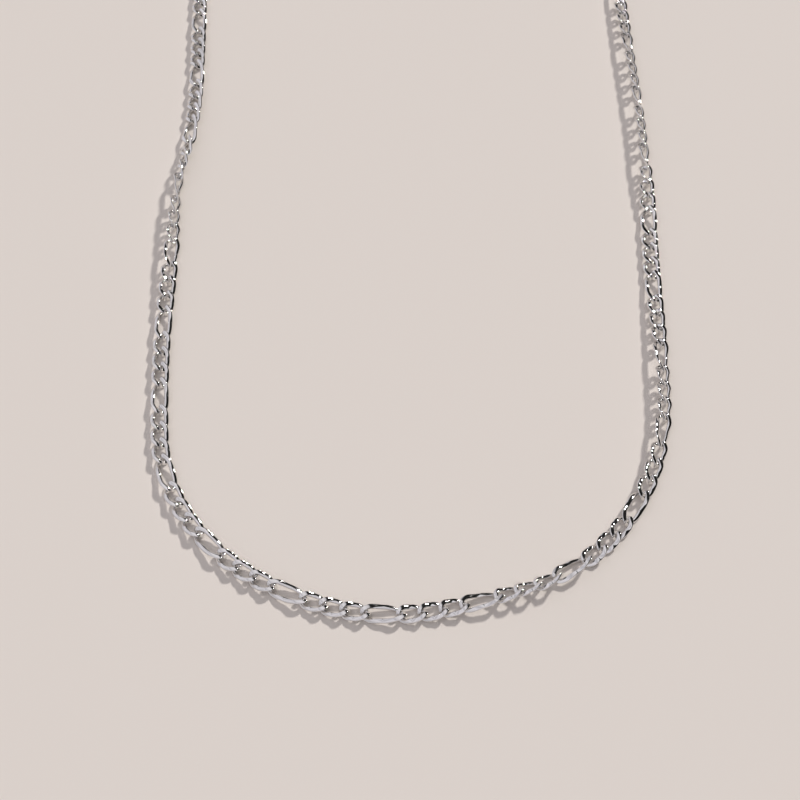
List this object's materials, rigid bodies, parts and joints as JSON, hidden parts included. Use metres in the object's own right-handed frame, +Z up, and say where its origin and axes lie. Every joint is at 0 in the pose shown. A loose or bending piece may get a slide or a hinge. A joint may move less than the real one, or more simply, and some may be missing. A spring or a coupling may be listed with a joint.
{
  "type": "figaro chain necklace",
  "caption": "Figaro chain necklace in polished steel with a lobster clasp, lying open in a U.",
  "frame": {"origin": "middle of the chain's footprint, on the surface that it lies on", "axes": "+Z up out of the surface, +Y from the bottom of the U along its two arms, +X to the right as the picture sees it"},
  "size_m": [0.105, 0.2038, 0.0035],
  "materials": {
    "chain_steel": "mirror polished, slightly flattened wire with fine handling scratches",
    "ring_steel": "polished round wire",
    "clasp_steel": "polished casting",
    "spring_steel": "drawn spring wire"
  },
  "bodies": {
    "root": {"middle_long_link": "chain_steel"},
    "left_short_link_01_body": {"left_short_link_01": "chain_steel"},
    "left_short_link_02_body": {"left_short_link_02": "chain_steel"},
    "left_short_link_03_body": {"left_short_link_03": "chain_steel"},
    "left_long_link_04_body": {"left_long_link_04": "chain_steel"},
    "left_short_link_05_body": {"left_short_link_05": "chain_steel"},
    "left_short_link_06_body": {"left_short_link_06": "chain_steel"},
    "left_short_link_07_body": {"left_short_link_07": "chain_steel"},
    "left_long_link_08_body": {"left_long_link_08": "chain_steel"},
    "left_short_link_09_body": {"left_short_link_09": "chain_steel"},
    "left_short_link_10_body": {"left_short_link_10": "chain_steel"},
    "left_short_link_11_body": {"left_short_link_11": "chain_steel"},
    "left_long_link_12_body": {"left_long_link_12": "chain_steel"},
    "left_short_link_13_body": {"left_short_link_13": "chain_steel"},
    "left_short_link_14_body": {"left_short_link_14": "chain_steel"},
    "left_short_link_15_body": {"left_short_link_15": "chain_steel"},
    "left_long_link_16_body": {"left_long_link_16": "chain_steel"},
    "left_repeat_05_body": {"left_repeat_05": "chain_steel"},
    "left_repeat_06_body": {"left_repeat_06": "chain_steel"},
    "left_repeat_07_body": {"left_repeat_07": "chain_steel"},
    "left_repeat_08_body": {"left_repeat_08": "chain_steel"},
    "left_repeat_09_body": {"left_repeat_09": "chain_steel"},
    "left_repeat_10_body": {"left_repeat_10": "chain_steel"},
    "left_repeat_11_body": {"left_repeat_11": "chain_steel"},
    "left_repeat_12_body": {"left_repeat_12": "chain_steel"},
    "left_end_link_body": {"left_end_link": "chain_steel"},
    "right_short_link_01_body": {"right_short_link_01": "chain_steel"},
    "right_short_link_02_body": {"right_short_link_02": "chain_steel"},
    "right_short_link_03_body": {"right_short_link_03": "chain_steel"},
    "right_long_link_04_body": {"right_long_link_04": "chain_steel"},
    "right_short_link_05_body": {"right_short_link_05": "chain_steel"},
    "right_short_link_06_body": {"right_short_link_06": "chain_steel"},
    "right_short_link_07_body": {"right_short_link_07": "chain_steel"},
    "right_long_link_08_body": {"right_long_link_08": "chain_steel"},
    "right_short_link_09_body": {"right_short_link_09": "chain_steel"},
    "right_short_link_10_body": {"right_short_link_10": "chain_steel"},
    "right_short_link_11_body": {"right_short_link_11": "chain_steel"},
    "right_long_link_12_body": {"right_long_link_12": "chain_steel"},
    "right_short_link_13_body": {"right_short_link_13": "chain_steel"},
    "right_short_link_14_body": {"right_short_link_14": "chain_steel"},
    "right_short_link_15_body": {"right_short_link_15": "chain_steel"},
    "right_long_link_16_body": {"right_long_link_16": "chain_steel"},
    "right_repeat_05_body": {"right_repeat_05": "chain_steel"},
    "right_repeat_06_body": {"right_repeat_06": "chain_steel"},
    "right_repeat_07_body": {"right_repeat_07": "chain_steel"},
    "right_repeat_08_body": {"right_repeat_08": "chain_steel"},
    "right_repeat_09_body": {"right_repeat_09": "chain_steel"},
    "right_repeat_10_body": {"right_repeat_10": "chain_steel"},
    "right_repeat_11_body": {"right_repeat_11": "chain_steel"},
    "right_repeat_12_body": {"right_repeat_12": "chain_steel"},
    "right_end_link_body": {"right_end_link": "chain_steel"},
    "clasp_jump_ring_body": {"clasp_jump_ring": "ring_steel"},
    "clasp_body_body": {"clasp_body": "clasp_steel", "clasp_pin": "clasp_steel", "clasp_spring": "spring_steel"},
    "clasp_lever_body": {"clasp_lever": "clasp_steel"},
    "end_ring_body": {"end_ring": "ring_steel"}
  },
  "joints": [
    {"name": "clasp_jump_ring_swing", "type": "hinge", "parent": "left_end_link_body", "child": "clasp_jump_ring_body", "pos_m": [-0.04947, 0.08992, 0.00098], "axis": [0, 0, 1], "range_deg": [-15, 8]},
    {"name": "clasp_lift", "type": "hinge", "parent": "clasp_jump_ring_body", "child": "clasp_body_body", "pos_m": [-0.04956, 0.0917, 0.0012], "axis": [0.9986, 0.0523, 0], "range_deg": [0, 18]},
    {"name": "clasp_lever_turn", "type": "hinge", "parent": "clasp_body_body", "child": "clasp_lever_body", "pos_m": [-0.0489, 0.09523, 0.0012], "axis": [0, 0, 1], "range_deg": [0, 22], "stiffness_Nm_per_rad": 0.004, "springref_deg": -20.05},
    {"name": "end_ring_swing", "type": "hinge", "parent": "right_end_link_body", "child": "end_ring_body", "pos_m": [0.04911, 0.08162, 0.00098], "axis": [0, 0, 1], "range_deg": [-15, 8]},
    {"name": "left_short_link_01_swing", "type": "hinge", "parent": "root", "child": "left_short_link_01_body", "pos_m": [-0.00701, -0.10005, 0.00107], "axis": [0, 0, 1], "range_deg": [-15, 15]},
    {"name": "left_short_link_02_swing", "type": "hinge", "parent": "left_short_link_01_body", "child": "left_short_link_02_body", "pos_m": [-0.01066, -0.09948, 0.00101], "axis": [0, 0, -1], "range_deg": [-15, 15]},
    {"name": "left_short_link_03_lift", "type": "hinge", "parent": "left_short_link_02_body", "child": "left_short_link_03_body", "pos_m": [-0.01425, -0.09859, 0.00101], "axis": [0.2419, 0.9703, 0], "range_deg": [0, 12]},
    {"name": "left_long_link_04_swing", "type": "hinge", "parent": "left_short_link_03_body", "child": "left_long_link_04_body", "pos_m": [-0.01777, -0.09744, 0.00101], "axis": [0, 0, -1], "range_deg": [-15, 15]},
    {"name": "left_short_link_05_swing", "type": "hinge", "parent": "left_long_link_04_body", "child": "left_short_link_05_body", "pos_m": [-0.02346, -0.09497, 0.00107], "axis": [0, 0, 1], "range_deg": [-15, 15]},
    {"name": "left_short_link_06_lift", "type": "hinge", "parent": "left_short_link_05_body", "child": "left_short_link_06_body", "pos_m": [-0.02669, -0.09318, 0.00101], "axis": [-0.4838, -0.8752, 0], "range_deg": [-12, 0]},
    {"name": "left_short_link_07_swing", "type": "hinge", "parent": "left_short_link_06_body", "child": "left_short_link_07_body", "pos_m": [-0.0298, -0.09116, 0.00101], "axis": [0, 0, 1], "range_deg": [-15, 15]},
    {"name": "left_long_link_08_swing", "type": "hinge", "parent": "left_short_link_07_body", "child": "left_long_link_08_body", "pos_m": [-0.0327, -0.08887, 0.00101], "axis": [0, 0, -1], "range_deg": [-15, 15]},
    {"name": "left_short_link_09_lift", "type": "hinge", "parent": "left_long_link_08_body", "child": "left_short_link_09_body", "pos_m": [-0.03704, -0.08444, 0.00107], "axis": [0.7133, 0.7009, 0], "range_deg": [0, 12]},
    {"name": "left_short_link_10_swing", "type": "hinge", "parent": "left_short_link_09_body", "child": "left_short_link_10_body", "pos_m": [-0.03929, -0.0815, 0.00101], "axis": [0, 0, -1], "range_deg": [-15, 15]},
    {"name": "left_short_link_11_swing", "type": "hinge", "parent": "left_short_link_10_body", "child": "left_short_link_11_body", "pos_m": [-0.04125, -0.07836, 0.00101], "axis": [0, 0, 1], "range_deg": [-15, 15]},
    {"name": "left_long_link_12_lift", "type": "hinge", "parent": "left_short_link_11_body", "child": "left_long_link_12_body", "pos_m": [-0.0429, -0.07505, 0.00101], "axis": [-0.8954, -0.4452, 0], "range_deg": [-12, 0]},
    {"name": "left_short_link_13_swing", "type": "hinge", "parent": "left_long_link_12_body", "child": "left_short_link_13_body", "pos_m": [-0.04492, -0.06919, 0.00107], "axis": [0, 0, 1], "range_deg": [-15, 15]},
    {"name": "left_short_link_14_swing", "type": "hinge", "parent": "left_short_link_13_body", "child": "left_short_link_14_body", "pos_m": [-0.04566, -0.06556, 0.00101], "axis": [0, 0, -1], "range_deg": [-15, 15]},
    {"name": "left_short_link_15_lift", "type": "hinge", "parent": "left_short_link_14_body", "child": "left_short_link_15_body", "pos_m": [-0.04604, -0.06188, 0.00101], "axis": [0.9945, 0.1045, 0], "range_deg": [0, 12]},
    {"name": "left_long_link_16_swing", "type": "hinge", "parent": "left_short_link_15_body", "child": "left_long_link_16_body", "pos_m": [-0.04639, -0.0582, 0.00101], "axis": [0, 0, -1], "range_deg": [-15, 15]},
    {"name": "left_repeat_05_swing", "type": "hinge", "parent": "left_long_link_16_body", "child": "left_repeat_05_body", "pos_m": [-0.04688, -0.05202, 0.00107], "axis": [0, 0, 1], "range_deg": [-15, 15]},
    {"name": "left_repeat_06_lift", "type": "hinge", "parent": "left_repeat_05_body", "child": "left_repeat_06_body", "pos_m": [-0.04755, -0.03474, 0.00111], "axis": [-0.9998, -0.0175, 0], "range_deg": [-12, 0]},
    {"name": "left_repeat_07_swing", "type": "hinge", "parent": "left_repeat_06_body", "child": "left_repeat_07_body", "pos_m": [-0.04751, -0.01744, 0.00142], "axis": [0, 0, 1], "range_deg": [-15, 15]},
    {"name": "left_repeat_08_swing", "type": "hinge", "parent": "left_repeat_07_body", "child": "left_repeat_08_body", "pos_m": [-0.04753, -0.00014, 0.00174], "axis": [0, 0, -1], "range_deg": [-15, 15]},
    {"name": "left_repeat_09_lift", "type": "hinge", "parent": "left_repeat_08_body", "child": "left_repeat_09_body", "pos_m": [-0.04624, 0.0171, 0.0013], "axis": [0.9986, -0.0523, 0], "range_deg": [0, 8]},
    {"name": "left_repeat_10_swing", "type": "hinge", "parent": "left_repeat_09_body", "child": "left_repeat_10_body", "pos_m": [-0.04656, 0.03439, 0.00123], "axis": [0, 0, -1], "range_deg": [-15, 15]},
    {"name": "left_repeat_11_swing", "type": "hinge", "parent": "left_repeat_10_body", "child": "left_repeat_11_body", "pos_m": [-0.04747, 0.05167, 0.00107], "axis": [0, 0, 1], "range_deg": [-15, 15]},
    {"name": "left_repeat_12_lift", "type": "hinge", "parent": "left_repeat_11_body", "child": "left_repeat_12_body", "pos_m": [-0.04837, 0.06895, 0.00107], "axis": [-0.9986, -0.0523, 0], "range_deg": [-12, 0]},
    {"name": "left_end_link_swing", "type": "hinge", "parent": "left_repeat_12_body", "child": "left_end_link_body", "pos_m": [-0.04928, 0.08622, 0.00107], "axis": [0, 0, 1], "range_deg": [-15, 15]},
    {"name": "right_short_link_01_swing", "type": "hinge", "parent": "root", "child": "right_short_link_01_body", "pos_m": [-0.00081, -0.10027, 0.00107], "axis": [0, 0, -1], "range_deg": [-15, 15]},
    {"name": "right_short_link_02_swing", "type": "hinge", "parent": "right_short_link_01_body", "child": "right_short_link_02_body", "pos_m": [0.00288, -0.09995, 0.00101], "axis": [0, 0, 1], "range_deg": [-15, 15]},
    {"name": "right_short_link_03_lift", "type": "hinge", "parent": "right_short_link_02_body", "child": "right_short_link_03_body", "pos_m": [0.00652, -0.09931, 0.00101], "axis": [0.1736, -0.9848, 0], "range_deg": [0, 12]},
    {"name": "right_long_link_04_swing", "type": "hinge", "parent": "right_short_link_03_body", "child": "right_long_link_04_body", "pos_m": [0.01014, -0.09855, 0.00109], "axis": [0, 0, 1], "range_deg": [-15, 15]},
    {"name": "right_short_link_05_swing", "type": "hinge", "parent": "right_long_link_04_body", "child": "right_short_link_05_body", "pos_m": [0.01614, -0.09699, 0.00121], "axis": [0, 0, -1], "range_deg": [-15, 15]},
    {"name": "right_short_link_06_lift", "type": "hinge", "parent": "right_short_link_05_body", "child": "right_short_link_06_body", "pos_m": [0.01968, -0.09591, 0.00123], "axis": [-0.2936, 0.9559, 0], "range_deg": [-12, 0]},
    {"name": "right_short_link_07_swing", "type": "hinge", "parent": "right_short_link_06_body", "child": "right_short_link_07_body", "pos_m": [0.02318, -0.0947, 0.00135], "axis": [0, 0, -1], "range_deg": [-15, 15]},
    {"name": "right_long_link_08_swing", "type": "hinge", "parent": "right_short_link_07_body", "child": "right_long_link_08_body", "pos_m": [0.02654, -0.09315, 0.00132], "axis": [0, 0, 1], "range_deg": [-15, 15]},
    {"name": "right_short_link_09_lift", "type": "hinge", "parent": "right_long_link_08_body", "child": "right_short_link_09_body", "pos_m": [0.03177, -0.08982, 0.00122], "axis": [0.5373, -0.8434, 0], "range_deg": [0, 12]},
    {"name": "right_short_link_10_swing", "type": "hinge", "parent": "right_short_link_09_body", "child": "right_short_link_10_body", "pos_m": [0.03459, -0.08743, 0.00106], "axis": [0, 0, 1], "range_deg": [-15, 15]},
    {"name": "right_short_link_11_swing", "type": "hinge", "parent": "right_short_link_10_body", "child": "right_short_link_11_body", "pos_m": [0.03716, -0.08477, 0.00107], "axis": [0, 0, -1], "range_deg": [-15, 15]},
    {"name": "right_long_link_12_lift", "type": "hinge", "parent": "right_short_link_11_body", "child": "right_long_link_12_body", "pos_m": [0.0395, -0.0819, 0.00113], "axis": [-0.7748, 0.6322, 0], "range_deg": [-12, 0]},
    {"name": "right_short_link_13_swing", "type": "hinge", "parent": "right_long_link_12_body", "child": "right_short_link_13_body", "pos_m": [0.04286, -0.07669, 0.0012], "axis": [0, 0, -1], "range_deg": [-15, 15]},
    {"name": "right_short_link_14_swing", "type": "hinge", "parent": "right_short_link_13_body", "child": "right_short_link_14_body", "pos_m": [0.0445, -0.07338, 0.00118], "axis": [0, 0, 1], "range_deg": [-15, 15]},
    {"name": "right_short_link_15_lift", "type": "hinge", "parent": "right_short_link_14_body", "child": "right_short_link_15_body", "pos_m": [0.04587, -0.06994, 0.00122], "axis": [0.9298, -0.3681, 0], "range_deg": [0, 12]},
    {"name": "right_long_link_16_swing", "type": "hinge", "parent": "right_short_link_15_body", "child": "right_long_link_16_body", "pos_m": [0.04699, -0.06641, 0.00124], "axis": [0, 0, 1], "range_deg": [-15, 15]},
    {"name": "right_repeat_05_swing", "type": "hinge", "parent": "right_long_link_16_body", "child": "right_repeat_05_body", "pos_m": [0.04835, -0.06036, 0.00145], "axis": [0, 0, -1], "range_deg": [-15, 15]},
    {"name": "right_repeat_06_lift", "type": "hinge", "parent": "right_repeat_05_body", "child": "right_repeat_06_body", "pos_m": [0.04944, -0.04311, 0.00139], "axis": [-0.9995, 0.0314, 0], "range_deg": [-12, 0]},
    {"name": "right_repeat_07_swing", "type": "hinge", "parent": "right_repeat_06_body", "child": "right_repeat_07_body", "pos_m": [0.04964, -0.02581, 0.00114], "axis": [0, 0, -1], "range_deg": [-15, 15]},
    {"name": "right_repeat_08_swing", "type": "hinge", "parent": "right_repeat_07_body", "child": "right_repeat_08_body", "pos_m": [0.05047, -0.00853, 0.00112], "axis": [0, 0, 1], "range_deg": [-15, 15]},
    {"name": "right_repeat_09_lift", "type": "hinge", "parent": "right_repeat_08_body", "child": "right_repeat_09_body", "pos_m": [0.05108, 0.00876, 0.00163], "axis": [0.9997, -0.0227, 0], "range_deg": [0, 12]},
    {"name": "right_repeat_10_swing", "type": "hinge", "parent": "right_repeat_09_body", "child": "right_repeat_10_body", "pos_m": [0.05102, 0.02605, 0.00163], "axis": [0, 0, 1], "range_deg": [-15, 15]},
    {"name": "right_repeat_11_swing", "type": "hinge", "parent": "right_repeat_10_body", "child": "right_repeat_11_body", "pos_m": [0.05045, 0.04335, 0.00148], "axis": [0, 0, -1], "range_deg": [-15, 15]},
    {"name": "right_repeat_12_lift", "type": "hinge", "parent": "right_repeat_11_body", "child": "right_repeat_12_body", "pos_m": [0.04984, 0.06063, 0.00127], "axis": [-0.9994, -0.0349, 0], "range_deg": [-12, 0]},
    {"name": "right_end_link_swing", "type": "hinge", "parent": "right_repeat_12_body", "child": "right_end_link_body", "pos_m": [0.04924, 0.07792, 0.00107], "axis": [0, 0, -1], "range_deg": [-15, 15]}
  ]
}
